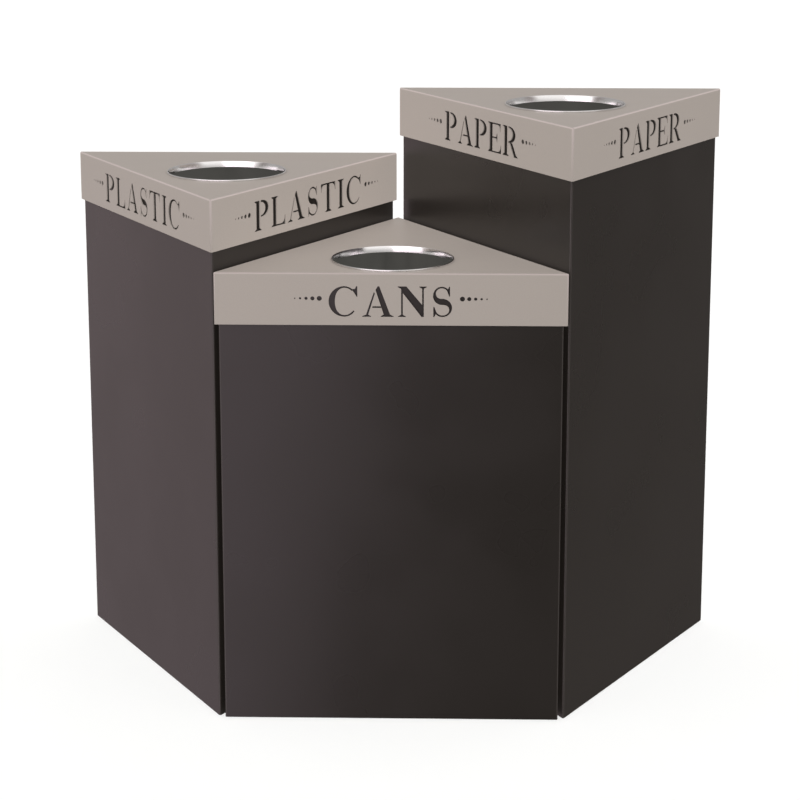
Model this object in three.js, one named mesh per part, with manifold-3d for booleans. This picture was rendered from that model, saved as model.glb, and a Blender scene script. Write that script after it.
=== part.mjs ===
// Recycling bin station: three free-standing triangular bins in a half-hexagon group.
// Millimetres, +Z up. The origin is on the floor under the middle of the station's box,
// +X points to the right and -Y to the front.
import * as THREE from 'three';
import Module from 'manifold-3d';
import { mergeVertices } from 'three/addons/utils/BufferGeometryUtils.js';

// ---- driving dimensions ------------------------------------------------------------------
const LID_SIDE = 508;            // side of the lid's triangle, measured to its sharp corners
const LOWEST_TOP = 678;          // floor to the lid's top on the lowest bin
const HEIGHT_STEP = 104;         // each bin is this much taller than the last
const SHEET = 1.5;               // steel sheet of lids, shells, pans and gussets
const SKIRT = 76;                // depth of the lid's skirt
const LID_RADIUS = 2.2;          // lid's vertical corners
const SHELL_INSET = 3.4;         // shell's face behind the skirt's face
const SHELL_RADIUS = 2.2;        // shell's vertical corners
const INNER_RADIUS = 0.2;        // least radius of a folded corner's inside
const SHELL_LIFT = 2.5;          // floor to the shell's lower edge
const HEM = 12;                  // height of the doubled edge at the shell's top
const LID_CLEARANCE = 1.3;       // lid's underside to the shell's top edge
const GAP = 0.3;                 // between pieces that touch or rest on each other
const BIN_GAP = 1;               // between neighbouring lids

const OPENING_OFFSET = 48;       // opening's centre in front of the lid's centre
const RING_OUTER = 90;           // trim ring's lip, radius
const RING_INNER = 87;           // clear radius of the opening
const RING_LIP = 2.6;            // lip's height over the lid
const RING_DEPTH = 6.5;          // collar's depth under the lid's top
const RING_WALL = 1.2;
const RING_ROLL = 1.5;           // lip's outer edge to its crown
const RING_SWAGE = 1.2;          // how far the collar is swaged outwards under the sheet
const RING_STEPS = 32;

const PAN_HEIGHT = 10;           // floor to the pan's underside
const PAN_FLANGE = 25;
const FOOT_REACH = 230;          // bin's centre to each foot
const FOOT_RADIUS = 15;
const FOOT_TAPER = 1.5;
const STEM_RADIUS = 4;
const HEAD_OVERHANG = 2.5;       // foot's barbed head past its stem
const HEAD_HEIGHT = 3;

const GUSSET_REACH = 238;        // bin's centre to each gusset's inner edge
const GUSSET_FLANGE = 9;
const GUSSET_TRIM = 3;           // cut off the gusset's corner
const FLANGE_TRIM = 2;           // flange's ends inside the gusset's edges
const STOP_REACH = 257;          // bin's centre to each lid stop
const STOP_RADIUS = 7;
const STOP_HEIGHT = 2.2;
const STOP_TAPER = 0.6;
const STOP_STEM = 2.5;
const BARB_OVERHANG = 1.5;       // lid stop's barb past its stem
const BARB_HEIGHT = 3;

const LINER_WALL = 3;
const LINER_RIM_APOTHEM = 138;
const LINER_BASE_APOTHEM = 120;
const LINER_RIM_RADIUS = 42;
const LINER_BASE_RADIUS = 36;
const LINER_DROP = 20;           // liner's rim below the lid's top
const RIM_HEIGHT = 10;
const RIM_OVERHANG = 6;          // liner's rim past its wall
const RIM_CHAMFER = 2;

const CAP_HEIGHT = 44.5;         // cut letters
const BASELINE_DROP = 63.7;      // letters' baseline below the lid's top
const STEM = 9;                  // thick strokes
const HAIR = 2.4;                // thin strokes
const SERIF = 4.2;               // how far a serif stands out
const SERIF_ROOT = 3.4;          // its thickness at the stroke
const SERIF_TIP = 1;             // and at its tip
const BRIDGE = 2.4;              // metal left between two cuts
const DOT_DROP = 37.2;           // dots' centres below the lid's top
const DOT_COUNT = 5;
const CURVE_STEP = 40;           // degrees of a curved stroke in one segment
const DOT_SIDES = 6;

// Apothem is the distance from a triangle's centre to each of its sides.
const LID_APOTHEM = LID_SIDE / (2 * Math.sqrt(3));
const SPACING = 2 * LID_APOTHEM + BIN_GAP;       // between neighbouring bins' centres
const SIDE_X = SPACING * Math.cos(Math.PI / 6);
const HALF_DEPTH = SPACING / 4;                  // of the two rows of centres

// The lowest bin has its flat side to the front. The other two are turned half round and
// stand against its two rear sides.
const BINS = [
  { name: 'cans', word: 'CANS', letterGap: 5.5, top: LOWEST_TOP, x: 0, y: -HALF_DEPTH, turned: false },
  {
    name: 'plastic', word: 'PLASTIC', letterGap: 7, top: LOWEST_TOP + HEIGHT_STEP,
    x: -SIDE_X, y: HALF_DEPTH, turned: true,
  },
  {
    name: 'paper', word: 'PAPER', letterGap: 4, top: LOWEST_TOP + 2 * HEIGHT_STEP,
    x: SIDE_X, y: HALF_DEPTH, turned: true,
  },
];

// ---- materials ---------------------------------------------------------------------------
const greyPaint = new THREE.MeshStandardMaterial({ color: 0xa89f98, roughness: 0.5, metalness: 0.1 });
const blackPaint = new THREE.MeshStandardMaterial({ color: 0x383432, roughness: 0.45, metalness: 0.1 });
const chrome = new THREE.MeshStandardMaterial({ color: 0xd8d8d8, roughness: 0.12, metalness: 1 });
const darkPlastic = new THREE.MeshStandardMaterial({ color: 0x434240, roughness: 0.6, metalness: 0 });
const rubber = new THREE.MeshStandardMaterial({ color: 0x1c1c1c, roughness: 0.85, metalness: 0 });

// ---- solids ------------------------------------------------------------------------------
const wasm = await Module();
wasm.setup();

const radians = (degrees) => THREE.MathUtils.degToRad(degrees);

function toManifold(geometry) {
  const bare = geometry.clone();
  bare.deleteAttribute('normal');
  bare.deleteAttribute('uv');
  const merged = mergeVertices(bare, 1e-4);
  const vertProperties = Float32Array.from(merged.attributes.position.array);
  const triVerts = Uint32Array.from(merged.index.array);
  return new wasm.Manifold(new wasm.Mesh({ numProp: 3, vertProperties, triVerts }));
}

function toGeometry(manifold) {
  const mesh = manifold.getMesh();
  const geometry = new THREE.BufferGeometry();
  geometry.setAttribute('position', new THREE.BufferAttribute(Float32Array.from(mesh.vertProperties), 3));
  geometry.setIndex(Array.from(mesh.triVerts));
  geometry.computeVertexNormals();
  return geometry;
}

function cut(geometry, cutters) {
  let solid = toManifold(geometry);
  for (const cutter of cutters) {
    solid = solid.subtract(toManifold(cutter));
  }
  return toGeometry(solid);
}

const CORNERS = [90, 210, 330];  // headings of a triangle's corners, in degrees
const cornerHeadings = CORNERS.map(radians);

// A triangle's outline moved inwards, with its corners still a little round.
const inset = ({ apothem, radius }, depth) => ({
  apothem: apothem - depth,
  radius: Math.max(radius - depth, INNER_RADIUS),
});

const LID = { apothem: LID_APOTHEM, radius: LID_RADIUS };
const SHELL = { apothem: LID_APOTHEM - SHELL_INSET, radius: SHELL_RADIUS };
const SHELL_INSIDE = inset(SHELL, SHEET);
const HEM_INSIDE = inset(SHELL, 2 * SHEET);

// A level loop of points round a triangle with round corners, one of which points along +Y.
function triangleLoop({ apothem, radius, z }, cornerSteps) {
  const loop = [];
  for (const heading of CORNERS) {
    const reach = 2 * (apothem - radius);
    for (let step = 0; step <= cornerSteps; step += 1) {
      const angle = radians(heading - 60 + (120 * step) / cornerSteps);
      loop.push([
        reach * Math.cos(radians(heading)) + radius * Math.cos(angle),
        reach * Math.sin(radians(heading)) + radius * Math.sin(angle),
        z,
      ]);
    }
  }
  return loop;
}

// A profile swept round the triangle, up the outside first. A closed profile makes a ring,
// and an open one is closed by a flat face at each end.
function triangleSweep(profile, { closed, cornerSteps = 4 }) {
  const loops = profile.map((point) => triangleLoop(point, cornerSteps));
  const size = loops[0].length;
  const points = loops.flat();
  const index = [];
  const bands = closed ? loops.length : loops.length - 1;
  for (let band = 0; band < bands; band += 1) {
    const low = band * size;
    const high = ((band + 1) % loops.length) * size;
    for (let j = 0; j < size; j += 1) {
      const next = (j + 1) % size;
      index.push(low + j, low + next, high + next, low + j, high + next, high + j);
    }
  }
  if (!closed) {
    const first = points.length;
    points.push([0, 0, profile[0].z], [0, 0, profile[profile.length - 1].z]);
    const last = (loops.length - 1) * size;
    for (let j = 0; j < size; j += 1) {
      const next = (j + 1) % size;
      index.push(first, next, j, first + 1, last + j, last + next);
    }
  }
  const geometry = new THREE.BufferGeometry();
  geometry.setAttribute('position', new THREE.Float32BufferAttribute(points.flat(), 3));
  geometry.setIndex(index);
  geometry.computeVertexNormals();
  return geometry;
}

// A round piece about a vertical axis, from [radius, height] points.
function revolve(profile, steps) {
  const points = profile.map(([radius, height]) => new THREE.Vector2(radius, height));
  return new THREE.LatheGeometry(points, steps).rotateX(Math.PI / 2);
}

function post(radius, low, high, steps) {
  return revolve([[0, low], [radius, low], [radius, high], [0, high]], steps);
}

// ---- cut letters -------------------------------------------------------------------------
// A letter is a list of outlines with the baseline at 0, which may overlap. Its strokes are
// straight outlines, or parts of an ellipse whose width swells from HAIR to STEM. Where a cut
// would let an island fall out, as in A, P and R, a bridge of metal is left.
function curvedStroke({ x, y, rx, ry, from, to, swell }) {
  const steps = Math.round((to - from) / CURVE_STEP);
  const outer = [];
  const inner = [];
  for (let step = 0; step <= steps; step += 1) {
    const angle = radians(from + ((to - from) * step) / steps);
    const half = (HAIR + (STEM - HAIR) * swell(angle)) / 2;
    outer.push([x + (rx + half) * Math.cos(angle), y + (ry + half) * Math.sin(angle)]);
    inner.unshift([x + (rx - half) * Math.cos(angle), y + (ry - half) * Math.sin(angle)]);
  }
  return [...outer, ...inner];
}

// An upright stroke. Each of its four ends may carry a wedge-shaped serif.
function upright(left, width, serifs) {
  const right = left + width;
  const end = (name, x, out, edge, inward) => {
    const serif = [[x, edge + inward * SERIF_ROOT], [x + out, edge + inward * SERIF_TIP], [x + out, edge]];
    return serifs.includes(name) ? serif : [[x, edge]];
  };
  return [
    ...end('lowerLeft', left, -SERIF, 0, 1),
    ...end('lowerRight', right, SERIF, 0, 1).reverse(),
    ...end('upperRight', right, SERIF, CAP_HEIGHT, -1),
    ...end('upperLeft', left, -SERIF, CAP_HEIGHT, -1).reverse(),
  ];
}

// A flat arm along the baseline with a pointed wedge at its end.
const arm = (start, end, wedge) => [
  [start, 0], [end, 0], [end, wedge], [end - 1.2, wedge],
  [end - 3.2, wedge / 2], [end - 8, HAIR], [start, HAIR],
];
const upsideDown = (points) => points.map(([x, y]) => [x, CAP_HEIGHT - y]);
const mirrored = (points, axis) => points.map(([x, y]) => [2 * axis - x, y]);

const FOOT_SERIFS = ['lowerLeft', 'lowerRight'];
const ALL_SERIFS = [...FOOT_SERIFS, 'upperLeft', 'upperRight'];
const LEFT_SERIFS = ['lowerLeft', 'upperLeft'];
const ARM_ROOT = SERIF + STEM - 1;
const bowl = {
  x: SERIF + STEM + BRIDGE, y: 32.2, rx: 16.1, ry: 11.1, from: -90, to: 90, swell: (a) => Math.cos(a) ** 2,
};

const LETTERS = {
  A: {
    width: 45,
    outlines: [
      [
        [19, 39], [22, CAP_HEIGHT], [24.5, CAP_HEIGHT], [39.7, SERIF_ROOT],
        [45, SERIF_TIP], [45, 0], [26.5, 0], [26.5, SERIF_TIP], [30.6, SERIF_ROOT],
      ],
      [
        [0, 0], [12.6, 0], [12.6, SERIF_TIP], [8.6, SERIF_ROOT],
        [18.2, 34], [16.8, 36.2], [5.6, SERIF_ROOT], [0, SERIF_TIP],
      ],
      [[14, 13], [28.5, 13], [28.5, 13 + HAIR], [14.8, 13 + HAIR]],
    ],
  },
  C: {
    width: 42.3,
    outlines: [
      curvedStroke({
        x: 22.4, y: CAP_HEIGHT / 2, rx: 17.9, ry: (CAP_HEIGHT - HAIR) / 2, from: 50, to: 320,
        swell: (a) => Math.max(0, -Math.cos(a)) ** 2,
      }),
      [[41, CAP_HEIGHT], [39.4, CAP_HEIGHT], [37.6, 40.6], [32.6, 40], [36, 35.5], [40, 29], [41, 29]],
    ],
  },
  E: {
    width: 38,
    outlines: [
      upright(SERIF, STEM, LEFT_SERIFS),
      upsideDown(arm(ARM_ROOT, 36, 12)),
      arm(ARM_ROOT, 38, 13),
      [
        [ARM_ROOT, 21.4], [23, 21.4], [26, 16], [27.2, 16],
        [27.2, 29.4], [26, 29.4], [23, 21.4 + HAIR], [ARM_ROOT, 21.4 + HAIR],
      ],
    ],
  },
  I: { width: STEM + 2 * SERIF, outlines: [upright(SERIF, STEM, ALL_SERIFS)] },
  L: { width: 36, outlines: [upright(SERIF, STEM, [...LEFT_SERIFS, 'upperRight']), arm(ARM_ROOT, 36, 14)] },
  N: {
    width: 42.4,
    outlines: [
      upright(5, HAIR, FOOT_SERIFS),
      [
        [0, CAP_HEIGHT], [12.5, CAP_HEIGHT], [36, 16.5], [36, 0],
        [34, 0], [6, 36.5], [6, 40], [0, CAP_HEIGHT - SERIF_TIP],
      ],
      upright(34.9, HAIR, ['upperLeft', 'upperRight']),
    ],
  },
  P: { width: 36, outlines: [upright(SERIF, STEM, [...FOOT_SERIFS, 'upperLeft']), curvedStroke(bowl)] },
  R: {
    width: 43,
    outlines: [
      upright(SERIF, STEM, [...FOOT_SERIFS, 'upperLeft']),
      curvedStroke(bowl),
      [[18.6, 20.6], [27.4, 20.6], [38.4, SERIF_ROOT], [43, SERIF_TIP], [43, 0], [31.4, 0]],
    ],
  },
  S: {
    width: 31,
    outlines: [
      curvedStroke({
        x: 15, y: 32.7, rx: 10.4, ry: 10.45, from: 28, to: 276,
        swell: (a) => Math.sin(a / 2 - Math.PI / 4) ** 4,
      }),
      curvedStroke({
        x: 16, y: 11.8, rx: 11.4, ry: 10.45, from: -152, to: 96,
        swell: (a) => Math.sin(a / 2 + Math.PI / 4) ** 4,
      }),
      [[26.6, CAP_HEIGHT], [25.4, CAP_HEIGHT], [23.8, 41], [22, 39], [25.4, 30], [26.6, 30]],
      [[3, 0], [4.2, 0], [6, 3.4], [8, 5.4], [4.2, 15], [3, 15]],
    ],
  },
  T: {
    width: 40,
    outlines: [
      upright(15.5, STEM, FOOT_SERIFS),
      upsideDown(arm(19, 40, 13)),
      mirrored(upsideDown(arm(19, 40, 13)), 20),
    ],
  },
};

const DOTS = Array.from({ length: DOT_COUNT }, (_, i) => ({
  offset: 13.2 + 9.8 * i - 0.35 * i * (i - 1),
  radius: 3.6 - 0.635 * i,
}));

// Every outline of one skirt's word and dots, centred on x = 0 with the baseline at y = 0.
function skirtOutlines({ word, letterGap }) {
  const letters = [...word].map((letter) => LETTERS[letter]);
  const length = letters.reduce((sum, letter) => sum + letter.width + letterGap, -letterGap);
  const outlines = [];
  let pen = -length / 2;
  for (const { width, outlines: strokes } of letters) {
    const start = pen;
    outlines.push(...strokes.map((stroke) => stroke.map(([x, y]) => [x + start, y])));
    pen += width + letterGap;
  }
  for (const side of [-1, 1]) {
    for (const { offset, radius } of DOTS) {
      const x = side * (length / 2 + offset);
      const y = BASELINE_DROP - DOT_DROP;
      outlines.push(Array.from({ length: DOT_SIDES }, (_, k) => {
        const angle = (2 * Math.PI * k) / DOT_SIDES;
        return [x + radius * Math.cos(angle), y + radius * Math.sin(angle)];
      }));
    }
  }
  return outlines;
}

// Cutting prisms for the words, through each of the three skirts.
function skirtCutters(bin) {
  const reach = 2 * SHEET;
  const cutters = [];
  for (const outline of skirtOutlines(bin)) {
    const shape = new THREE.Shape(outline.map(([x, y]) => new THREE.Vector2(x, y)));
    for (const turn of [0, 120, 240]) {
      const prism = new THREE.ExtrudeGeometry(shape, { depth: 2 * reach, bevelEnabled: false });
      prism.rotateX(Math.PI / 2);
      prism.translate(0, -LID_APOTHEM + reach, bin.top - BASELINE_DROP);
      cutters.push(prism.rotateZ(radians(turn)));
    }
  }
  return cutters;
}

// ---- the pieces of one bin, in its own frame with one corner to the rear -----------------
const openingY = (bin) => (bin.turned ? OPENING_OFFSET : -OPENING_OFFSET);

function lid(bin) {
  const { top } = bin;
  const inside = inset(LID, SHEET);
  const blank = triangleSweep([
    { ...inside, z: top - SHEET },
    { ...inside, z: top - SKIRT },
    { ...LID, z: top - SKIRT },
    { ...LID, z: top },
  ], { closed: false, cornerSteps: 3 });
  const hole = post(RING_INNER + RING_WALL + GAP, top - SKIRT, top + SHEET, RING_STEPS);
  return cut(blank, [hole.translate(0, openingY(bin), 0), ...skirtCutters(bin)]);
}

function trimRing(bin) {
  const collar = RING_INNER + RING_WALL;
  const ring = revolve([
    [RING_INNER, -RING_DEPTH],
    [collar + RING_SWAGE, -RING_DEPTH],
    [collar + RING_SWAGE, -SHEET - GAP - RING_SWAGE],
    [collar, -SHEET - GAP],
    [collar, GAP],
    [RING_OUTER, GAP],
    [RING_OUTER, RING_LIP / 2],
    [RING_OUTER - RING_ROLL, RING_LIP],
    [RING_INNER, RING_LIP / 2],
    [RING_INNER, -RING_DEPTH],
  ], RING_STEPS);
  return ring.translate(0, openingY(bin), bin.top);
}

function shell({ top }) {
  const rim = top - SHEET - LID_CLEARANCE;
  return triangleSweep([
    { ...SHELL, z: SHELL_LIFT },
    { ...SHELL, z: rim },
    { ...HEM_INSIDE, z: rim },
    { ...HEM_INSIDE, z: rim - HEM },
    { ...SHELL_INSIDE, z: rim - HEM },
    { ...SHELL_INSIDE, z: SHELL_LIFT },
  ], { closed: true, cornerSteps: 3 });
}

function bottomPan() {
  const outside = inset(SHELL_INSIDE, GAP);
  const inside = inset(outside, SHEET);
  const tray = triangleSweep([
    { ...outside, z: PAN_HEIGHT },
    { ...outside, z: PAN_HEIGHT + PAN_FLANGE },
    { ...inside, z: PAN_HEIGHT + PAN_FLANGE },
    { ...inside, z: PAN_HEIGHT + SHEET },
  ], { closed: false, cornerSteps: 2 });
  const holes = cornerHeadings.map((heading) => {
    const hole = post(STEM_RADIUS + GAP, 0, PAN_HEIGHT + PAN_FLANGE, 10);
    return hole.translate(FOOT_REACH * Math.cos(heading), FOOT_REACH * Math.sin(heading), 0);
  });
  return cut(tray, holes);
}

function foot(heading) {
  const panTop = PAN_HEIGHT + SHEET + GAP;
  const piece = revolve([
    [0, 0],
    [FOOT_RADIUS - FOOT_TAPER, 0],
    [FOOT_RADIUS, PAN_HEIGHT - GAP],
    [STEM_RADIUS, PAN_HEIGHT - GAP],
    [STEM_RADIUS, panTop],
    [STEM_RADIUS + HEAD_OVERHANG, panTop],
    [STEM_RADIUS, panTop + HEAD_HEIGHT],
    [0, panTop + HEAD_HEIGHT],
  ], 10);
  return piece.translate(FOOT_REACH * Math.cos(heading), FOOT_REACH * Math.sin(heading), 0);
}

// Height of the gussets' upper face, which leaves room for the lid stops under the lid.
const gussetTop = (top) => top - SHEET - STOP_HEIGHT - 2 * GAP;

function gusset({ top }, heading) {
  const tip = 2 * (HEM_INSIDE.apothem - GAP);
  const spread = Math.tan(Math.PI / 6);
  const halfWidth = (tip - GUSSET_REACH) * spread;
  const high = gussetTop(top);
  const outline = new THREE.Shape([
    new THREE.Vector2(GUSSET_REACH, -halfWidth),
    new THREE.Vector2(tip - GUSSET_TRIM, -GUSSET_TRIM * spread),
    new THREE.Vector2(tip - GUSSET_TRIM, GUSSET_TRIM * spread),
    new THREE.Vector2(GUSSET_REACH, halfWidth),
  ]);
  const plate = new THREE.ExtrudeGeometry(outline, { depth: SHEET, bevelEnabled: false });
  plate.translate(0, 0, high - SHEET);
  const flange = new THREE.BoxGeometry(SHEET, 2 * (halfWidth - FLANGE_TRIM), GUSSET_FLANGE);
  flange.translate(GUSSET_REACH + SHEET / 2, 0, high - SHEET / 2 - GUSSET_FLANGE / 2);
  const hole = post(STOP_STEM + GAP, high - 2 * SHEET, high + SHEET, 8).translate(STOP_REACH, 0, 0);
  const solid = toManifold(plate).add(toManifold(flange)).subtract(toManifold(hole));
  return toGeometry(solid).rotateZ(heading);
}

function lidStop({ top }, heading) {
  const high = gussetTop(top);
  const under = high - SHEET - GAP;
  const piece = revolve([
    [0, under - BARB_HEIGHT],
    [STOP_STEM, under - BARB_HEIGHT],
    [STOP_STEM + BARB_OVERHANG, under],
    [STOP_STEM, under],
    [STOP_STEM, high + GAP],
    [STOP_RADIUS, high + GAP],
    [STOP_RADIUS - STOP_TAPER, high + GAP + STOP_HEIGHT],
    [0, high + GAP + STOP_HEIGHT],
  ], 8);
  return piece.translate(STOP_REACH * Math.cos(heading), STOP_REACH * Math.sin(heading), 0);
}

function liner({ top }) {
  const floor = PAN_HEIGHT + SHEET + GAP;
  const rim = top - LINER_DROP;
  const underRim = rim - RIM_HEIGHT;
  const base = { apothem: LINER_BASE_APOTHEM, radius: LINER_BASE_RADIUS };
  const rimLoop = { apothem: LINER_RIM_APOTHEM, radius: LINER_RIM_RADIUS };
  const wallTop = inset(rimLoop, RIM_OVERHANG);
  return triangleSweep([
    { ...base, z: floor },
    { ...wallTop, z: underRim },
    { ...rimLoop, z: underRim },
    { ...rimLoop, z: rim - RIM_CHAMFER },
    { ...inset(rimLoop, RIM_CHAMFER), z: rim },
    { ...inset(wallTop, LINER_WALL), z: rim },
    { ...inset(base, LINER_WALL), z: floor + LINER_WALL },
  ], { closed: false, cornerSteps: 5 });
}

// ---- assembly ----------------------------------------------------------------------------
const station = new THREE.Group();

for (const bin of BINS) {
  const group = new THREE.Group();
  group.position.set(bin.x, bin.y, 0);
  group.rotation.z = bin.turned ? Math.PI : 0;
  const place = (name, geometry, material) => {
    const mesh = new THREE.Mesh(geometry, material);
    mesh.name = `${bin.name}_${name}`;
    group.add(mesh);
  };

  place('shell', shell(bin), blackPaint);
  place('bottom_pan', bottomPan(), blackPaint);
  place('liner', liner(bin), darkPlastic);
  place('lid', lid(bin), greyPaint);
  place('trim_ring', trimRing(bin), chrome);
  cornerHeadings.forEach((heading, i) => {
    place(`foot_${i + 1}`, foot(heading), rubber);
    place(`gusset_${i + 1}`, gusset(bin, heading), blackPaint);
    place(`lid_stop_${i + 1}`, lidStop(bin, heading), rubber);
  });
  station.add(group);
}

export default station;
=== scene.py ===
"""Recycling bin station: three triangular sheet-steel bins with lift-off lids.

Everything is in metres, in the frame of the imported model: +Z up, -Y to the front, the floor at 0.
The pieces are built here from the places and sizes of the model's own nodes. Only the bottom pans
and the gussets stay as the model has them, and get their paint.
"""
import math

import bmesh
import bpy
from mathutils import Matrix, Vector
from mathutils.geometry import delaunay_2d_cdt


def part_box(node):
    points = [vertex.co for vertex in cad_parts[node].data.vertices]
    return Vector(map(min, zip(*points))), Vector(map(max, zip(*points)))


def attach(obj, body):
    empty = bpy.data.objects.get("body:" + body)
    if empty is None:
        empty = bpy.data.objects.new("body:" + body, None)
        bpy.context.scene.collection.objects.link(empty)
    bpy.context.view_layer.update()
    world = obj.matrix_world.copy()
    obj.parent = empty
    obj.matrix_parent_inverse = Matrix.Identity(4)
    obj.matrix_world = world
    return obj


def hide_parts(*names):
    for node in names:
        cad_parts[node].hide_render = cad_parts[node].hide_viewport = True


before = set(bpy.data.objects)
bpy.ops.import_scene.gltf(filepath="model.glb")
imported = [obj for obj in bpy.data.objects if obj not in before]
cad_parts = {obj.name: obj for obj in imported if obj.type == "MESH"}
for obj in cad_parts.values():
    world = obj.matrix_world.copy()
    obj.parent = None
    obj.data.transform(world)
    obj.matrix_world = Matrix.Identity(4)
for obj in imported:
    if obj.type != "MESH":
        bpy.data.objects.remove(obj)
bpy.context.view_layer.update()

MM = 0.001
ROOT3 = math.sqrt(3)
CORNERS = (90, 210, 330)      # headings of a triangle's corners, in degrees
SIDES = (-90, 30, 150)        # and of its sides

# ---- sizes that the frame's boxes don't give -----------------------------------------------
SHEET = 1.5 * MM              # steel sheet
CORNER_RADIUS = 2.2 * MM      # vertical corners of shells and lids
FOLD_RADIUS = 2.2 * MM        # fold between a lid's top and its skirts
INNER_RADIUS = 0.2 * MM       # least radius of a folded corner's inside
HEM = 12 * MM                 # doubled edge at the shells' tops
RING_WIDTH = 3 * MM           # a trim ring, from its opening to its outer edge
RING_COVER = 1 * MM           # how far it covers the lid beside the hole
RING_BEAD = 1.1 * MM          # radius of its bead on the lid
RING_WALL = 0.5 * MM
RING_SEAT = 0.15 * MM         # how far its bead stays clear of the lid
FLARE = 7                     # degrees that its throat leans out at its foot
LINER_WALL = 3 * MM
LINER_RIM_RADIUS = 42 * MM    # a liner's corners at its rim
LINER_BASE_RADIUS = 36 * MM   # and at its base
LINER_TAPER = 18 * MM         # how much nearer its middle the base's sides lie than the rim's
LINER_BRIM = 6 * MM           # how far its rim stands out from its wall
LINER_HEEL = 12 * MM          # radius between its wall and its base
LINER_ROLL = 2.5 * MM         # radius of its rim's edges
NARROW = 0.8 * MM             # faces narrower than this belong to a fold or corner
SHARP = 35                    # degrees; faces that meet at more than this have a hard edge
FLAT = 3                      # degrees; and at less than this they count as flat

# ---- how finely curves are made --------------------------------------------------------------
CORNER_STEPS = 8              # a corner of sheet
LINER_CORNER_STEPS = 14
ARC_STEPS = 6                 # a small quarter arc
HEM_STEPS = 10                # the half arc at a shell's top
THROAT_STEPS = 16             # a ring's throat, from foot to bead
RING_STEPS = 144              # right round a ring
HOLE_STEPS = 96               # round the hole under it
RUBBER_STEPS = 32             # round a foot or a lid stop
DOT_STEPS = 24
CURVE_STEP = 6                # degrees of a letter's curved stroke in one segment

# ---- sizes of the cut words, in millimetres --------------------------------------------------
CAP_HEIGHT = 44.5
BASELINE_DROP = 63.7          # baseline below the lid's top
DOT_DROP = 37.2               # dots' centres below the lid's top
DOT_COUNT = 5
DOT_RADIUS = 3.6              # the dot nearest the word
DOT_SHRINK = 0.635            # how much smaller each further one is
DOT_GAP = 13.2                # from the word to the centre of the nearest dot
DOT_PITCH = 9.8               # from there to the next
DOT_CLOSING = 0.35            # half of what each pitch is less than the one before it
STEM = 9                      # thick strokes
HAIR = 2.4                    # thin strokes
SERIF = 4.2                   # how far a serif stands out
SERIF_ROOT = 3.4              # its thickness at the stroke
SERIF_TIP = 1                 # and at its tip
BRIDGE = 2.4                  # metal left between two cuts
# Each bin's word, and the gap between its letters
WORDS = {"cans": ("CANS", 5.5), "plastic": ("PLASTIC", 7), "paper": ("PAPER", 4)}

# ---- light and camera ------------------------------------------------------------------------
SUNS = {-90: 2.8, 30: 3.0, 150: 2.8}    # strength by heading in degrees
SUN_RISE = 18.4               # degrees; three such suns light all sides and tops alike
SOFT_ANGLE = 120              # degrees across the soft suns, which cast shadows
SOFT_SHARE = 0.3              # their part of the light on the bodies and the floor
PLAIN_SHARE = 0.7             # the part that casts none
FILL_LIGHT = 0.16             # the studio's own light on matt surfaces
CREVICE = 10 * MM             # slots and gaps up to about this deep get painted shade
CREVICE_SHADE = 0.3           # what is left of a colour at their bottom
CAMERA_PLACE = (0.0904, -3.4962, 1.363)
CAMERA_AIM = (0.0079, 0, 0.5593)
CAMERA_LENS = 106.2           # mm
CAMERA_SHIFT = -0.1           # upward shift of the frame, in widths of the picture


# ---- materials -------------------------------------------------------------------------------
class Nodes:
    """A new material's node tree, with short ways to add and join nodes."""

    def __init__(self, name):
        self.material = bpy.data.materials.new(name)
        self.material.use_nodes = True
        self.tree = self.material.node_tree
        self.shader = self.tree.nodes["Principled BSDF"]
        self.place = self.tree.nodes.new("ShaderNodeTexCoord").outputs["Object"]

    def add(self, kind, inputs=None, **settings):
        node = self.tree.nodes.new(kind)
        for key, value in settings.items():
            setattr(node, key, value)
        for key, value in (inputs or {}).items():
            self.join(value, node.inputs[key])
        return node

    def join(self, value, socket):
        """A link where the value is another node's output, and otherwise a fixed value."""
        if isinstance(value, bpy.types.NodeSocket):
            self.tree.links.new(value, socket)
        else:
            socket.default_value = value

    def noise(self, scale, detail=2.0, roughness=0.5):
        """Noise with about this many cells to the metre."""
        inputs = {"Vector": self.place, "Scale": scale, "Detail": detail, "Roughness": roughness}
        return self.add("ShaderNodeTexNoise", inputs).outputs["Fac"]

    def spread(self, value, low, high, start=0.35, end=0.65):
        """The value eased from start..end to low..high, and kept within them."""
        inputs = {
            "Value": value, "From Min": start, "From Max": end, "To Min": low, "To Max": high,
        }
        node = self.add("ShaderNodeMapRange", inputs, interpolation_type="SMOOTHSTEP")
        return node.outputs["Result"]

    def shade(self, fac, dark, light):
        """A colour between two, which are outputs or (red, green, blue)."""
        node = self.add("ShaderNodeMix", data_type="RGBA")
        self.join(fac, node.inputs[0])
        for colour, socket in ((dark, node.inputs[6]), (light, node.inputs[7])):
            self.join(colour if isinstance(colour, bpy.types.NodeSocket) else (*colour, 1), socket)
        return node.outputs[2]

    def paint_crevice_shade(self, colour):
        """The colour with painted shade: darker in slots and crevices, the more closely they are
        hemmed in.
        """
        probe = self.add("ShaderNodeAmbientOcclusion", {"Distance": CREVICE}, samples=12)
        openness = probe.outputs["AO"]
        node = self.add("ShaderNodeMix", data_type="RGBA", blend_type="MULTIPLY")
        self.join(1.0, node.inputs[0])
        self.join(colour, node.inputs[6])
        self.join(self.shade(openness, (CREVICE_SHADE,) * 3, (1, 1, 1)), node.inputs[7])
        return node.outputs[2]

    def bump(self, height, strength, distance, under=None):
        """A bumped normal, on top of another one where that is given."""
        inputs = {"Height": height, "Strength": strength, "Distance": distance}
        if under is not None:
            inputs["Normal"] = under
        return self.add("ShaderNodeBump", inputs).outputs["Normal"]

    def finish(self, **inputs):
        """The material, with values or outputs joined to the shader's inputs of these names."""
        for key, value in inputs.items():
            self.join(value, self.shader.inputs[key.replace("_", " ")])
        return self.material


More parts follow.
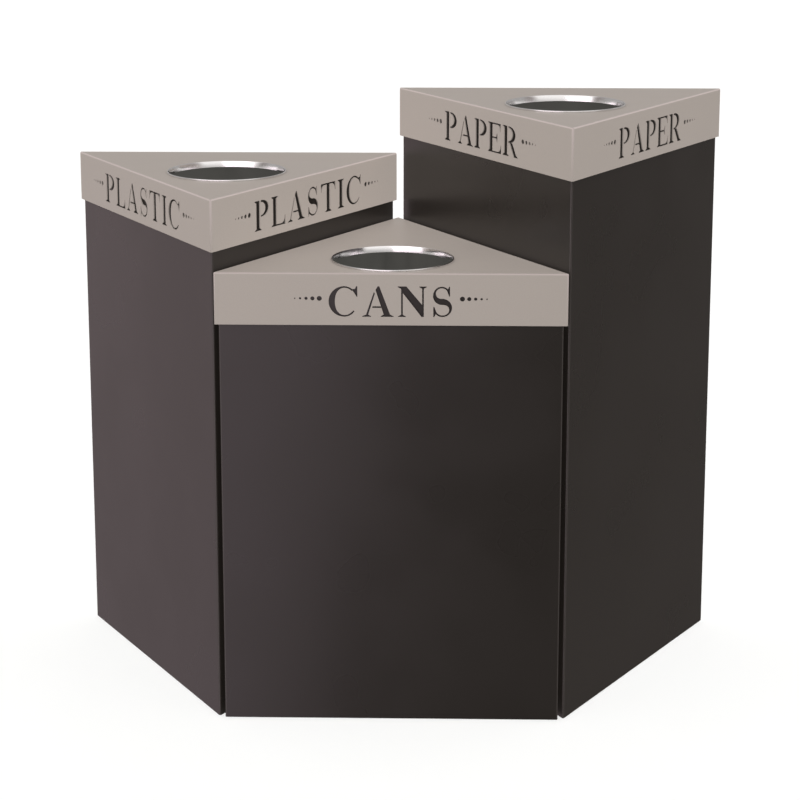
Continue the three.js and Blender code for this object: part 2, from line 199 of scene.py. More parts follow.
def linear(*srgb):
    """Linear colour from sRGB numbers of 0 to 255."""
    scaled = [c / 255 for c in srgb]
    return tuple(c / 12.92 if c <= 0.04045 else ((c + 0.055) / 1.055) ** 2.4 for c in scaled)


def tint(colour, factor):
    return tuple(c * factor for c in colour)


def powder_coat(name, colour, fold_highlight_colour, roughness, variation, specular):
    """Baked powder paint: orange peel about 1.5 mm across, fine grain, and slow drifts in gloss.
    Folds and corners get a painted highlight: a lighter colour in place of the light they catch."""
    n = Nodes(name)
    peel = n.noise(650, detail=1.5)
    grain = n.noise(2600, detail=1.0)
    drift = n.noise(5, detail=3.0)
    mottle = n.add("ShaderNodeMath", {0: grain, 1: drift, 2: peel}, operation="MULTIPLY_ADD")
    share = n.spread(mottle.outputs[0], 0, 1, 0.5, 1.0)
    flat = n.shade(share, tint(colour, 1 - variation), tint(colour, 1 + variation))
    # Painted highlight: the points marked as fold take the lighter second colour.
    fold = n.add("ShaderNodeAttribute", attribute_name="fold").outputs["Fac"]
    # Painted shade in slots and crevices, from an occlusion probe in the colour.
    paint = n.paint_crevice_shade(n.shade(fold, flat, fold_highlight_colour))
    gloss = n.spread(drift, roughness - 0.03, roughness + 0.03)
    normal = n.bump(grain, 0.12, 0.05 * MM, n.bump(peel, 0.25, 0.12 * MM))
    n.join(specular, n.shader.inputs["Specular IOR Level"])
    return n.finish(Base_Color=paint, Roughness=gloss, Normal=normal)


def satin_chrome(name):
    """Chrome with fine marks and a trace of haze, which mirrors softly."""
    n = Nodes(name)
    haze = n.noise(60, detail=4.0)
    marks = n.noise(900, detail=2.0)
    gloss = n.spread(haze, 0.15, 0.21)
    colour = n.shade(haze, (0.80, 0.80, 0.80), (0.90, 0.90, 0.90))
    n.join(1.0, n.shader.inputs["Metallic"])
    return n.finish(Base_Color=colour, Roughness=gloss, Normal=n.bump(marks, 0.05, 0.02 * MM))


def moulded_plastic(name, colour, roughness, texture):
    """Matt moulded plastic or rubber with a spark-eroded texture."""
    n = Nodes(name)
    pits = n.noise(1400, detail=2.0)
    flow = n.noise(14, detail=3.0)
    mixed = n.shade(n.spread(flow, 0, 1), tint(colour, 0.93), tint(colour, 1.07))
    gloss = n.spread(pits, roughness - 0.05, roughness + 0.05)
    return n.finish(Base_Color=mixed, Roughness=gloss, Normal=n.bump(pits, texture, 0.1 * MM))


EVENLY_LIT = bpy.data.collections.new("evenly_lit")
SOFTLY_LIT = bpy.data.collections.new("softly_lit")
LIT = {
    "lid_paint": EVENLY_LIT,
    "trim_chrome": EVENLY_LIT,
    "liner_plastic": EVENLY_LIT,
    "body_paint": SOFTLY_LIT,
    "rubber": SOFTLY_LIT,
}
# Each paint's second colour is its painted highlight on folds and corners.
MATERIALS = {
    "lid_paint": powder_coat(
        "lid_paint", linear(165, 156, 149), linear(185, 173, 169),
        roughness=0.42, variation=0.02, specular=0.25,
    ),
    "body_paint": powder_coat(
        "body_paint", linear(36, 32, 29), linear(49, 44, 41),
        roughness=0.30, variation=0.05, specular=0.5,
    ),
    "trim_chrome": satin_chrome("trim_chrome"),
    "liner_plastic": moulded_plastic(
        "liner_plastic", linear(74, 73, 70), roughness=0.6, texture=0.3
    ),
    "rubber": moulded_plastic("rubber", linear(26, 26, 26), roughness=0.8, texture=0.4),
}


# ---- shapes ----------------------------------------------------------------------------------
# A shape is a list of points and a list of faces over them, with the faces turned outwards.
# Shapes of one bin are made about its own middle, with one corner to the rear.
def rounded_triangle(apothem, radius, steps):
    """Points round a triangle whose sides lie apothem from its centre."""
    points = []
    for heading in CORNERS:
        reach = 2 * (apothem - radius)
        out = math.radians(heading)
        for step in range(steps + 1):
            angle = out + math.radians(-60 + 120 * step / steps)
            x = reach * math.cos(out) + radius * math.cos(angle)
            y = reach * math.sin(out) + radius * math.sin(angle)
            points.append((x, y))
    return points


def loops_to_shape(loops, closed=False, caps=(False, False)):
    """Rings of points joined one above the other, the outside going up."""
    size = len(loops[0])
    points = [p for loop in loops for p in loop]
    faces = []
    for band in range(len(loops) if closed else len(loops) - 1):
        low = band * size
        high = (band + 1) % len(loops) * size
        for j in range(size):
            k = (j + 1) % size
            faces.append((low + j, low + k, high + k, high + j))
    if caps[0]:
        faces.append(tuple(reversed(range(size))))
    if caps[1]:
        faces.append(tuple(range((len(loops) - 1) * size, len(loops) * size)))
    return points, faces


def triangle_sweep(profile, steps=CORNER_STEPS, **ends):
    """A profile of (apothem, corner radius, height) swept round the triangle."""
    loops = []
    for apothem, radius, z in profile:
        loops.append([(x, y, z) for x, y in rounded_triangle(apothem, radius, steps)])
    return loops_to_shape(loops, **ends)


def revolve(profile, steps, centre, **ends):
    """A profile of (radius, height) turned about an upright line."""
    loops = []
    for radius, z in profile:
        loop = []
        for step in range(steps):
            angle = 2 * math.pi * step / steps
            x = centre[0] + radius * math.cos(angle)
            y = centre[1] + radius * math.sin(angle)
            loop.append((x, y, z))
        loops.append(loop)
    return loops_to_shape(loops, **ends)


def arc(centre, radius, start, end, steps):
    """Points (x, y) of an arc from start to end, in degrees."""
    points = []
    for step in range(steps + 1):
        angle = math.radians(start + (end - start) * step / steps)
        x = centre[0] + radius * math.cos(angle)
        y = centre[1] + radius * math.sin(angle)
        points.append((x, y))
    return points


def circle(centre, radius, count):
    """Points (x, y) of a circle, as an arc that stops one step short."""
    return arc(centre, radius, 0, 360 * (count - 1) / count, count - 1)


def anticlockwise(loop):
    area = sum(x0 * y1 - x1 * y0 for (x0, y0), (x1, y1) in zip(loop, loop[1:] + loop[:1]))
    return loop if area > 0 else loop[::-1]


def flat_panel(outline, holes, lift):
    """A flat sheet with holes, cut in the plane and carried into space by lift(u, v)."""
    coords = []
    faces = []
    for loop in (outline, *holes):
        start = len(coords)
        coords += [Vector((u / MM, v / MM)) for u, v in anticlockwise(loop)]
        faces.append(list(range(start, len(coords))))
    # Type 1 asks for triangles inside the loops. The owners are the loops that each lies in, and
    # a triangle of metal lies in the outline alone.
    points, _, triangles, _, _, owners = delaunay_2d_cdt(coords, [], faces, 1, 1e-5)
    kept = [triangle for triangle, inside in zip(triangles, owners) if inside == [0]]
    return [lift(p.x * MM, p.y * MM) for p in points], kept


# ---- cut letters -----------------------------------------------------------------------------
# A letter is its width and a list of outlines in millimetres with the baseline at 0. Outlines
# may overlap. Where a cut would let an island fall out, as in A, P and R, a bridge is left.
def curved_stroke(x, y, rx, ry, start, end, swell):
    """Part of an ellipse, from thin to thick as swell(angle) goes from 0 to 1."""
    steps = round((end - start) / CURVE_STEP)
    outer = []
    inner = []
    for step in range(steps + 1):
        angle = math.radians(start + (end - start) * step / steps)
        half = (HAIR + (STEM - HAIR) * swell(angle)) / 2
        outer.append((x + (rx + half) * math.cos(angle), y + (ry + half) * math.sin(angle)))
        inner.append((x + (rx - half) * math.cos(angle), y + (ry - half) * math.sin(angle)))
    return outer + inner[::-1]


def upright(left, width, serifs):
    """An upright stroke whose ends may carry wedge-shaped serifs: a subset of 'LR' at each end."""
    right = left + width
    foot, head = serifs

    def end(present, x, out, edge, inward):
        if not present:
            return [(x, edge)]
        root = (x, edge + inward * SERIF_ROOT)
        tip = (x + out, edge + inward * SERIF_TIP)
        return [root, tip, (x + out, edge)]

    return (
        end("L" in foot, left, -SERIF, 0, 1)
        + end("R" in foot, right, SERIF, 0, 1)[::-1]
        + end("R" in head, right, SERIF, CAP_HEIGHT, -1)
        + end("L" in head, left, -SERIF, CAP_HEIGHT, -1)[::-1]
    )


def arm(start, end, wedge):
    """A flat arm along the baseline with a pointed wedge at its end."""
    return [
        (start, 0), (end, 0), (end, wedge), (end - 1.2, wedge),
        (end - 2.2, wedge * 0.62), (end - 4.4, wedge * 0.34), (end - 8, HAIR), (start, HAIR),
    ]


def upside_down(points):
    return [(x, CAP_HEIGHT - y) for x, y in points]


def mirrored(points, axis):
    return [(2 * axis - x, y) for x, y in points]


def letters():
    """Every letter used, by name."""
    root = SERIF + STEM - 1
    bowl = curved_stroke(
        SERIF + STEM + BRIDGE, 32.2, 16.1, 11.1, -90, 90,
        lambda a: math.cos(a) ** 2,
    )
    right_leg = [
        (19, 39), (22, CAP_HEIGHT), (24.5, CAP_HEIGHT), (39.7, SERIF_ROOT),
        (45, SERIF_TIP), (45, 0), (26.5, 0), (26.5, SERIF_TIP), (30.6, SERIF_ROOT),
    ]
    left_leg = [
        (0, 0), (12.6, 0), (12.6, SERIF_TIP), (8.6, SERIF_ROOT),
        (18.2, 34), (16.8, 36.2), (5.6, SERIF_ROOT), (0, SERIF_TIP),
    ]
    crossbar = [(14, 13), (28.5, 13), (28.5, 13 + HAIR), (14.8, 13 + HAIR)]
    round_c = curved_stroke(
        22.4, CAP_HEIGHT / 2, 17.9, (CAP_HEIGHT - HAIR) / 2, 50, 320,
        lambda a: max(0, -math.cos(a)) ** 2,
    )
    c_barb = [
        (41, CAP_HEIGHT), (39.4, CAP_HEIGHT), (37.6, 40.6), (32.6, 40),
        (36, 35.5), (40, 29), (41, 29),
    ]
    middle_arm = [
        (root, 21.4), (23, 21.4), (26, 16), (27.2, 16),
        (27.2, 29.4), (26, 29.4), (23, 21.4 + HAIR), (root, 21.4 + HAIR),
    ]
    diagonal = [
        (0, CAP_HEIGHT), (12.5, CAP_HEIGHT), (36, 16.5), (36, 0),
        (34, 0), (6, 36.5), (6, 40), (0, CAP_HEIGHT - SERIF_TIP),
    ]
    r_leg = [(18.6, 20.6), (27.4, 20.6), (38.4, SERIF_ROOT), (43, SERIF_TIP), (43, 0), (31.4, 0)]
    upper_s = curved_stroke(
        15, 32.7, 10.4, 10.45, 28, 276,
        lambda a: math.sin(a / 2 - math.pi / 4) ** 4,
    )
    lower_s = curved_stroke(
        16, 11.8, 11.4, 10.45, -152, 96,
        lambda a: math.sin(a / 2 + math.pi / 4) ** 4,
    )
    s_barbs = [
        [(26.6, CAP_HEIGHT), (25.4, CAP_HEIGHT), (23.8, 41), (22, 39), (25.4, 30), (26.6, 30)],
        [(3, 0), (4.2, 0), (6, 3.4), (8, 5.4), (4.2, 15), (3, 15)],
    ]
    t_arm = upside_down(arm(19, 40, 13))
    e_stem = upright(SERIF, STEM, ("L", "L"))
    p_stem = upright(SERIF, STEM, ("LR", "L"))
    return {
        "A": (45, [right_leg, left_leg, crossbar]),
        "C": (42.3, [round_c, c_barb]),
        "E": (38, [e_stem, upside_down(arm(root, 36, 12)), arm(root, 38, 13), middle_arm]),
        "I": (STEM + 2 * SERIF, [upright(SERIF, STEM, ("LR", "LR"))]),
        "L": (36, [upright(SERIF, STEM, ("L", "LR")), arm(root, 36, 14)]),
        "N": (42.4, [upright(5, HAIR, ("LR", "")), diagonal, upright(34.9, HAIR, ("", "LR"))]),
        "P": (36, [p_stem, bowl]),
        "R": (43, [p_stem, bowl, r_leg]),
        "S": (31, [upper_s, lower_s, *s_barbs]),
        "T": (40, [upright(15.5, STEM, ("LR", "")), t_arm, mirrored(t_arm, 20)]),
    }


def skirt_cuts(word, gap):
    """Every outline of one skirt's word and dots, in metres, centred, with the baseline at 0."""
    alphabet = letters()
    length = sum(alphabet[c][0] + gap for c in word) - gap
    pen = -length / 2
    cuts = []
    for c in word:
        width, outlines = alphabet[c]
        cuts += [[(x + pen, y) for x, y in outline] for outline in outlines]
        pen += width + gap
    for side in (-1, 1):
        for i in range(DOT_COUNT):
            x = side * (length / 2 + DOT_GAP + DOT_PITCH * i - DOT_CLOSING * i * (i - 1))
            y = BASELINE_DROP - DOT_DROP
            cuts.append(circle((x, y), DOT_RADIUS - DOT_SHRINK * i, DOT_STEPS))
    return [[(x * MM, y * MM) for x, y in outline] for outline in cuts]


# ---- making pieces ---------------------------------------------------------------------------
def make_piece(name, shapes, place, thickness=0.0):
    """One mesh object from shapes, moved by place(point). A skin gets its thickness inwards."""
    bm = bmesh.new()
    for points, faces in shapes:
        verts = [bm.verts.new(place(p)) for p in points]
        for face in faces:
            bm.faces.new([verts[i] for i in face])
    bmesh.ops.remove_doubles(bm, verts=bm.verts, dist=0.002 * MM)
    bmesh.ops.dissolve_degenerate(bm, edges=bm.edges, dist=0.001 * MM)
    loose = [vert for vert in bm.verts if not vert.link_faces]
    bmesh.ops.delete(bm, geom=loose, context="VERTS")
    mesh = bpy.data.meshes.new(name)
    bm.to_mesh(mesh)
    bm.free()
    piece = bpy.data.objects.new(name, mesh)
    bpy.context.scene.collection.objects.link(piece)
    if thickness:
        solidify = piece.modifiers.new("thickness", "SOLIDIFY")
        solidify.thickness = thickness
        solidify.offset = -1
        solidify.use_even_offset = True
        apply_modifiers(piece)
    set_edges(piece)
    return piece


def apply_modifiers(piece):
    evaluated = piece.evaluated_get(bpy.context.evaluated_depsgraph_get())
    mesh = bpy.data.meshes.new_from_object(evaluated)
    piece.modifiers.clear()
    piece.data = mesh


def face_width(face):
    """A face's area over its longest edge."""
    return face.calc_area() / max(edge.calc_length() for edge in face.edges)


def set_edges(piece):
    """Smooth shading with hard edges where faces meet at more than SHARP degrees. The points
    inside a fold or a rounded corner are marked for the painted highlight."""
    bm = bmesh.new()
    bm.from_mesh(piece.data)
    fold = bm.verts.layers.float.new("fold")
    bm.normal_update()
    for vert in bm.verts:
        widths = [face_width(face) for face in vert.link_faces]
        bends = [math.degrees(edge.calc_face_angle(0)) for edge in vert.link_edges]
        vert[fold] = float(max(widths) < NARROW and FLAT < max(bends) < SHARP)
    for face in bm.faces:
        face.smooth = True
    for edge in bm.edges:
        inside = len(edge.link_faces) == 2
        edge.smooth = inside and edge.calc_face_angle(0) < math.radians(SHARP)
    bm.to_mesh(piece.data)
    bm.free()
    weighted = piece.modifiers.new("flat_faces", "WEIGHTED_NORMAL")
    weighted.keep_sharp = True
    weighted.mode = "FACE_AREA"


def fit(piece, body, slot, *nodes):
    """Material, light, body and the CAD nodes that the piece stands for."""
    piece.data.materials.clear()
    piece.data.materials.append(MATERIALS[slot])
    LIT[slot].objects.link(piece)
    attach(piece, body)
    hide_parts(*nodes)


def middle(node):
    """The middle of a node's box, seen from above."""
    low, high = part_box(node)
    return (low.x + high.x) / 2, (low.y + high.y) / 2


class Bin:
    """One bin's name and its places, read from the frame."""

    def __init__(self, name):
        self.name = name
        low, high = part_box(f"{name}_shell")
        self.shell_low = low.z
        self.shell_top = high.z
        self.shell_apothem = ((high.x - low.x) / 2 - CORNER_RADIUS) / ROOT3 + CORNER_RADIUS
        self.x = (low.x + high.x) / 2
        first_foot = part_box(f"{name}_foot_1")[0]
        self.turned = first_foot.y < (low.y + high.y) / 2
        self.side = -1 if self.turned else 1
        self.y = high.y - self.shell_apothem if self.turned else low.y + self.shell_apothem
        lid_low, lid_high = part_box(f"{name}_lid")
        self.lid_low = lid_low.z
        self.lid_top = lid_high.z
        self.lid_apothem = lid_high.y - self.y if self.turned else self.y - lid_low.y

    def place(self, point):
        """A point about the bin's own middle, carried to its place in the station."""
        return (self.x + self.side * point[0], self.y + self.side * point[1], point[2])

    def local(self, point):
        """The other way: a point (x, y) of the frame, about the bin's own middle."""
        return (self.side * (point[0] - self.x), self.side * (point[1] - self.y))


def make_shell(b):
    """The folded column: an eased foot, a hemmed top edge and the sheet's inside."""
    a, r = b.shell_apothem, CORNER_RADIUS

    def inside(depth, z):
        return (a - depth, max(r - depth, INNER_RADIUS), z)

    hem_top = arc((SHEET, b.shell_top - SHEET), SHEET, 180, 0, HEM_STEPS)
    profile = [
        inside(0.4 * MM, b.shell_low),
        inside(0.1 * MM, b.shell_low + 0.1 * MM),
        inside(0, b.shell_low + 0.4 * MM),
        *[inside(depth, z) for depth, z in hem_top],
        inside(2 * SHEET, b.shell_top - HEM),
        inside(SHEET, b.shell_top - HEM),
        inside(SHEET, b.shell_low),
    ]
    piece = make_piece(f"{b.name}_shell_panels", [triangle_sweep(profile, closed=True)], b.place)
    fit(piece, f"{b.name}_bin", "body_paint", f"{b.name}_shell")


def top_fold(a, r, top):
    """The profile of the fold between a lid's skirts and its top, going up."""
    fold = []
    for i in range(ARC_STEPS + 1):
        t = math.radians(90 * i / ARC_STEPS)
        inset = FOLD_RADIUS * (1 - math.cos(t))
        z = top - FOLD_RADIUS + FOLD_RADIUS * math.sin(t)
        fold.append((a - inset, max(r - inset, INNER_RADIUS), z))
    return fold


def skirt_corners(a, r, low, high):
    """The rounded corners between the three skirts."""
    edge = rounded_triangle(a, r, CORNER_STEPS)
    points = [(x, y, low) for x, y in edge] + [(x, y, high) for x, y in edge]
    faces = []
    for corner in range(3):
        for step in range(CORNER_STEPS):
            j = corner * (CORNER_STEPS + 1) + step
            faces.append((j, j + 1, len(edge) + j + 1, len(edge) + j))
    return points, faces


def make_lid(b):
    """A folded cap with its opening in the top and its words cut in the three skirts."""
    a, r, top, low = b.lid_apothem, CORNER_RADIUS, b.lid_top, b.lid_low
    skirt_top = top - FOLD_RADIUS
    fold = top_fold(a, r, top)
    shapes = [triangle_sweep(fold), skirt_corners(a, r, low, skirt_top)]

    ring = f"{b.name}_trim_ring"
    ring_low, ring_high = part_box(ring)
    hole_radius = (ring_high.x - ring_low.x) / 2 - RING_COVER
    hole = circle(b.local(middle(ring)), hole_radius, HOLE_STEPS)
    rim = rounded_triangle(fold[-1][0], fold[-1][1], CORNER_STEPS)
    shapes.append(flat_panel(rim, [hole], lambda u, v: (u, v, top)))

    half = ROOT3 * (a - r)
    panel = [(-half, low), (half, low), (half, skirt_top), (-half, skirt_top)]
    base = top - BASELINE_DROP * MM
    cuts = [[(u, v + base) for u, v in cut] for cut in skirt_cuts(*WORDS[b.name])]
    up = Vector((0, 0, 1))
    for heading in SIDES:
        out = Vector((math.cos(math.radians(heading)), math.sin(math.radians(heading)), 0))
        right = Vector((-out.y, out.x, 0))
        shapes.append(flat_panel(panel, cuts, lambda u, v: tuple(out * a + right * u + up * v)))
    piece = make_piece(f"{b.name}_lid_cap", shapes, b.place, thickness=SHEET)
    fit(piece, f"{b.name}_lid", "lid_paint", f"{b.name}_lid")


def make_trim_ring(b):
    """A spun ring: a bead on the lid, a flared throat in the opening and a swage at its foot."""
    ring = f"{b.name}_trim_ring"
    low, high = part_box(ring)
    outer = (high.x - low.x) / 2
    inner = outer - RING_WIDTH
    depth = high.z - low.z
    cone = depth * math.tan(math.radians(FLARE))
    roll = outer - RING_BEAD - inner - cone

    def throat(share):
        """The throat's radius at a share of its depth: a cone that rolls over into the bead."""
        return inner + cone * share + roll * (1 - math.sqrt(1 - share ** 2))

    seat = b.lid_top + RING_SEAT
    seat_share = (seat - low.z) / depth
    bead = arc((outer - RING_BEAD, high.z - RING_BEAD), RING_BEAD, 0, 90, ARC_STEPS)
    shares = [math.sin(math.radians(90 * i / THROAT_STEPS)) for i in range(THROAT_STEPS)]
    face = [(throat(share), low.z + depth * share) for share in reversed(shares)]
    swage = [(inner + RING_WALL, low.z), (inner + RING_WALL + 1.2 * MM, low.z + 0.4 * MM)]
    back = []
    for share in (0.3, seat_share * 0.7, seat_share):
        back.append((throat(share) + RING_WALL, low.z + depth * share))
    profile = [(outer, seat), *bead, *face, *swage, *back]
    shape = revolve(profile, RING_STEPS, middle(ring), closed=True)
    piece = make_piece(f"{b.name}_opening_trim", [shape], lambda p: p)
    fit(piece, f"{b.name}_lid", "trim_chrome", f"{b.name}_trim_ring")


def make_liner(b):
    """A tapered tub, from the heel up the outside, over the rolled rim and down the inside."""
    low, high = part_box(f"{b.name}_liner")
    rim_r, base_r, roll = LINER_RIM_RADIUS, LINER_BASE_RADIUS, LINER_ROLL
    rim_apothem = ((high.x - low.x) / 2 - rim_r) / ROOT3 + rim_r
    base_apothem = rim_apothem - LINER_TAPER
    wall_apothem = rim_apothem - LINER_BRIM
    wall_r = rim_r - 3 * MM
    rim = high.z

    heel_centre = (base_apothem - LINER_HEEL, low.z + LINER_HEEL)
    heel_arc = arc(heel_centre, LINER_HEEL, -90, 0, ARC_STEPS)
    profile = [(x, base_r - (base_apothem - x), z) for x, z in heel_arc]
    profile += [
        (wall_apothem, wall_r, rim - 10 * MM),
        (rim_apothem - 1 * MM, rim_r - 1 * MM, rim - 10 * MM),
        (rim_apothem, rim_r, rim - 9 * MM),
        (rim_apothem, rim_r, rim - roll),
    ]
    rim_arc = arc((rim_apothem - roll, rim - roll), roll, 18, 90, 5)
    profile += [(x, rim_r - (rim_apothem - x), z) for x, z in rim_arc]

    inside = wall_apothem - LINER_WALL
    profile += [
        (inside + roll, wall_r - LINER_WALL + roll, rim),
        (inside + 0.7 * MM, wall_r - LINER_WALL + 0.7 * MM, rim - 0.8 * MM),
        (inside, wall_r - LINER_WALL, rim - roll),
    ]
    floor_heel = LINER_HEEL - LINER_WALL
    inner_base = base_apothem - LINER_WALL
    inner_arc = arc((inner_base - floor_heel, low.z + LINER_HEEL), floor_heel, 0, -90, ARC_STEPS)
    profile += [(x, base_r - LINER_WALL - (inner_base - x), z) for x, z in inner_arc]
    shape = triangle_sweep(profile, steps=LINER_CORNER_STEPS, caps=(True, True))
    piece = make_piece(f"{b.name}_liner_tub", [shape], b.place)
    fit(piece, f"{b.name}_liner", "liner_plastic", f"{b.name}_liner")


def turned_rubber(name, profile, body, node):
    """A turned rubber piece on the middle of the node it stands for."""
    shape = revolve(profile, RUBBER_STEPS, middle(node), caps=(True, True))
    fit(make_piece(name, [shape], lambda p: p), body, "rubber", node)


def make_foot(b, i):
    """A push-in foot: a pad with a soft lower edge, a stem and a mushroom head over the pan."""
    node = f"{b.name}_foot_{i}"
    low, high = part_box(node)
    pad = (high.x - low.x) / 2
    pan_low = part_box(f"{b.name}_bottom_pan")[0].z - 0.3 * MM
    neck = 4 * MM
    head = high.z - 3 * MM
    profile = [
        (pad - 3.4 * MM, low.z),
        (pad - 2.0 * MM, low.z + 0.3 * MM),
        (pad - 1.4 * MM, low.z + 1.2 * MM),
        (pad, pan_low - 1.2 * MM),
        (pad - 0.4 * MM, pan_low),
        (neck, pan_low),
        (neck, head),
        (neck + 2.5 * MM, head),
        (neck + 2.0 * MM, head + 1 * MM),
        (neck, high.z - 0.3 * MM),
        (neck - 1.5 * MM, high.z),
    ]
    turned_rubber(f"{b.name}_rubber_foot_{i}", profile, f"{b.name}_bin", node)


def make_lid_stop(b, i):
    """A push-in bumper: a domed button on the gusset, with its barb underneath."""
    node = f"{b.name}_lid_stop_{i}"
    low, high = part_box(node)
    button = 7 * MM
    seat = high.z - 2.2 * MM
    neck = 2.5 * MM
    barb = low.z + 3 * MM
    profile = [
        (neck - 0.8 * MM, low.z),
        (neck, low.z + 0.5 * MM),
        (neck + 1.5 * MM, barb),
        (neck, barb),
        (neck, seat),
        (button - 0.2 * MM, seat),
        (button, seat + 0.5 * MM),
        (button - 0.7 * MM, seat + 1.4 * MM),
        (button - 2.2 * MM, seat + 2.0 * MM),
        (button - 4 * MM, high.z),
    ]
    turned_rubber(f"{b.name}_lid_bumper_{i}", profile, f"{b.name}_bin", node)


def finish_cad_nodes(b):
    """The pan and gussets are right as they are, and only need their paint and their light."""
    names = [f"{b.name}_bottom_pan"] + [f"{b.name}_gusset_{i}" for i in (1, 2, 3)]
    for name in names:
        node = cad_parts[name]
        node.data.materials.clear()
        node.data.materials.append(MATERIALS["body_paint"])
        SOFTLY_LIT.objects.link(node)


# ---- stage, light and camera -----------------------------------------------------------------
def point_at(thing, place, target):
    """Put a light or a camera at a place, facing a target."""
    thing.location = place
    aim = Vector(target) - Vector(place)
    thing.rotation_euler = aim.to_track_quat("-Z", "Y").to_euler()


def make_camera():
    camera = bpy.data.cameras.new("camera")
    camera.lens = CAMERA_LENS
    camera.shift_y = CAMERA_SHIFT
    holder = bpy.data.objects.new("camera", camera)
    point_at(holder, CAMERA_PLACE, CAMERA_AIM)
    bpy.context.scene.collection.objects.link(holder)
    bpy.context.scene.camera = holder


def make_floor():
    """A wide matt white floor, which the gloss doesn't mirror and which throws no light back."""
    half = 40
    corners = [(-half, -half, 0), (half, -half, 0), (half, half, 0), (-half, half, 0)]
    mesh = bpy.data.meshes.new("floor")
    mesh.from_pydata(corners, [], [(0, 1, 2, 3)])
    floor = bpy.data.objects.new("floor", mesh)
    bpy.context.scene.collection.objects.link(floor)
    SOFTLY_LIT.objects.link(floor)
    material = bpy.data.materials.new("floor")
    material.use_nodes = True
    shader = material.node_tree.nodes["Principled BSDF"]
    shader.inputs["Base Color"].default_value = (0.5, 0.5, 0.495, 1)
    shader.inputs["Roughness"].default_value = 0.9
    shader.inputs["Specular IOR Level"].default_value = 0.0
    shader.inputs["Emission Color"].default_value = (1, 1, 0.992, 1)
    shader.inputs["Emission Strength"].default_value = 0.5
    mesh.materials.append(material)
    floor.visible_glossy = False
    floor.visible_diffuse = False


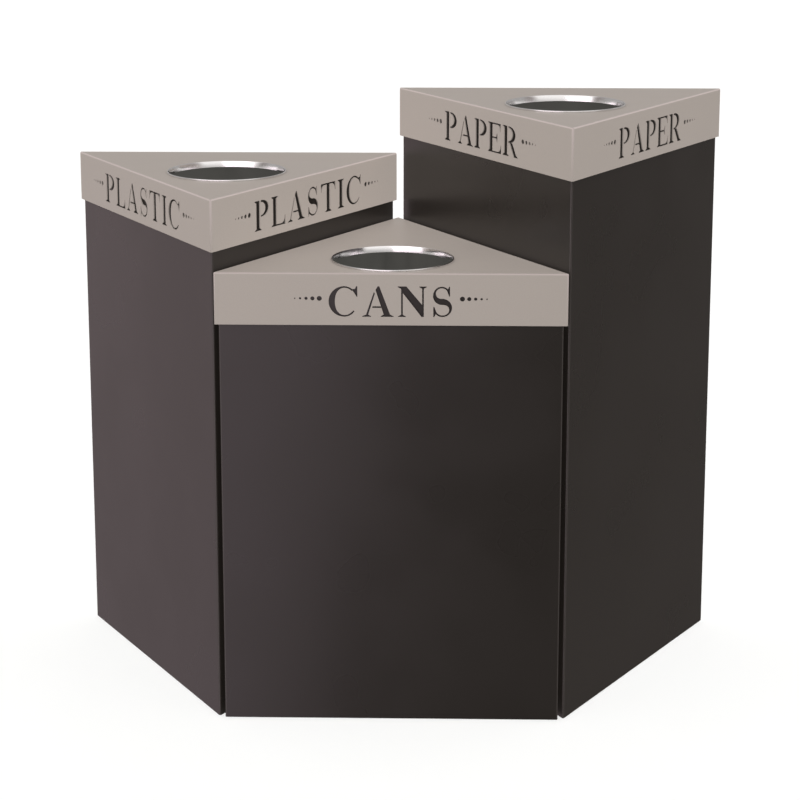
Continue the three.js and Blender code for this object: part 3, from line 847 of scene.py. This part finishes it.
def make_world():
    """A white studio. The camera sees it plain and matt surfaces get an even fill. What the gloss
    mirrors is a pattern by direction: above, a bright front wall with darker sides, a grey rear
    wall and a grey ceiling, and below, a dark front that lightens to the sides, a dim rear right,
    a glow at the rear left and grey straight behind."""
    world = bpy.data.worlds.new("studio")
    world.use_nodes = True
    tree = world.node_tree
    background = tree.nodes["Background"]

    def node(kind, inputs, output=0, **settings):
        made = tree.nodes.new(kind)
        for key, value in settings.items():
            setattr(made, key, value)
        for key, value in inputs.items():
            if isinstance(value, bpy.types.NodeSocket):
                tree.links.new(value, made.inputs[key])
            else:
                made.inputs[key].default_value = value
        return made.outputs[output]

    def ramp(value, start, end):
        """0 to 1 as the value goes from start to end."""
        inputs = {"Value": value, "From Min": start, "From Max": end, "To Min": 0, "To Max": 1}
        return node("ShaderNodeMapRange", inputs, interpolation_type="SMOOTHSTEP")

    def mix(fac, first, second):
        return node("ShaderNodeMix", {0: fac, 6: first, 7: second}, 2, data_type="RGBA")

    def grey(value):
        """A slightly warm grey."""
        return (value, 0.965 * value, 0.945 * value, 1)

    direction = tree.nodes.new("ShaderNodeTexCoord").outputs["Generated"]
    split = tree.nodes.new("ShaderNodeSeparateXYZ")
    tree.links.new(direction, split.inputs[0])
    x, y, z = split.outputs
    side = node("ShaderNodeMath", {0: x}, operation="ABSOLUTE")

    # Below eye level, which upright panels mirror.
    rear_left = mix(ramp(z, -0.38, -0.14), (0.46, 0.37, 0.4, 1), (0.62, 0.49, 0.52, 1))
    rear_right = mix(ramp(z, -0.14, -0.24), (0.088, 0.08, 0.075, 1), (0.125, 0.113, 0.107, 1))
    rear_sides = mix(ramp(x, 0.6, -0.5), rear_right, rear_left)
    low_rear = mix(ramp(y, 0.6, 0.92), rear_sides, grey(0.55))
    low_front = mix(ramp(side, 0.35, 0.95), grey(0.075), grey(0.85))
    low = mix(ramp(y, -0.3, 0.2), low_front, low_rear)

    # Above it, which the lids' tops and the rings mirror.
    front = mix(ramp(side, 0.75, 0.95), grey(1.1), (0.25, 0.21, 0.2, 1))
    front_wall = mix(ramp(z, 0, 0.22), grey(0.36), front)
    walls = mix(ramp(y, -0.35, 0.1), front_wall, grey(0.42))
    high = mix(ramp(z, 0.75, 0.92), walls, grey(0.5))

    pattern = mix(ramp(z, -0.1, 0.08), low, high)
    path = tree.nodes.new("ShaderNodeLightPath").outputs
    plain = mix(path["Is Camera Ray"], grey(FILL_LIGHT), (1, 0.997, 0.98, 1))
    tree.links.new(mix(path["Is Glossy Ray"], plain, pattern), background.inputs["Color"])
    bpy.context.scene.world = world


def sun(name, heading, receivers, angle, shadow, share=1.0):
    """A sun that lights only its receivers' matt surfaces."""
    light = bpy.data.lights.new(name, "SUN")
    light.energy = SUNS[heading] * share
    light.angle = math.radians(angle)
    light.use_shadow = shadow
    lamp = bpy.data.objects.new(name, light)
    lamp.rotation_euler = (math.radians(90 - SUN_RISE), 0, math.radians(heading + 90))
    lamp.visible_glossy = False
    bpy.context.scene.collection.objects.link(lamp)
    lamp.light_linking.receiver_collection = receivers


def make_suns():
    """Shadowless light for lids, rings and liners, and partly shadowed light for the rest."""
    for i, heading in enumerate(SUNS, 1):
        sun(f"even_sun_{i}", heading, EVENLY_LIT, 0, False)
        sun(f"soft_sun_{i}", heading, SOFTLY_LIT, SOFT_ANGLE, True, SOFT_SHARE)
        sun(f"gap_sun_{i}", heading, SOFTLY_LIT, 0, False, PLAIN_SHARE)


def make_front_card():
    """A card of pinkish light low at the front left, which only the gloss mirrors."""
    light = bpy.data.lights.new("front_card", "AREA")
    light.shape = "RECTANGLE"
    light.size = 2.4
    light.size_y = 3.2
    light.energy = 28
    light.color = (1, 0.82, 0.93)
    card = bpy.data.objects.new("front_card", light)
    point_at(card, (-1.35, -1.6, 0.1), (-1.35, 0, 0.1))
    card.rotation_euler.rotate_axis("Z", math.radians(-10))
    bpy.context.scene.collection.objects.link(card)
    card.visible_camera = False
    card.visible_diffuse = False


# ---- the scene -------------------------------------------------------------------------------
make_camera()
make_floor()
make_world()
make_suns()
make_front_card()
bpy.context.scene.view_settings.view_transform = "Standard"

for bin_name in WORDS:
    a_bin = Bin(bin_name)
    make_shell(a_bin)
    make_lid(a_bin)
    make_trim_ring(a_bin)
    make_liner(a_bin)
    for number in (1, 2, 3):
        make_foot(a_bin, number)
        make_lid_stop(a_bin, number)
    finish_cad_nodes(a_bin)
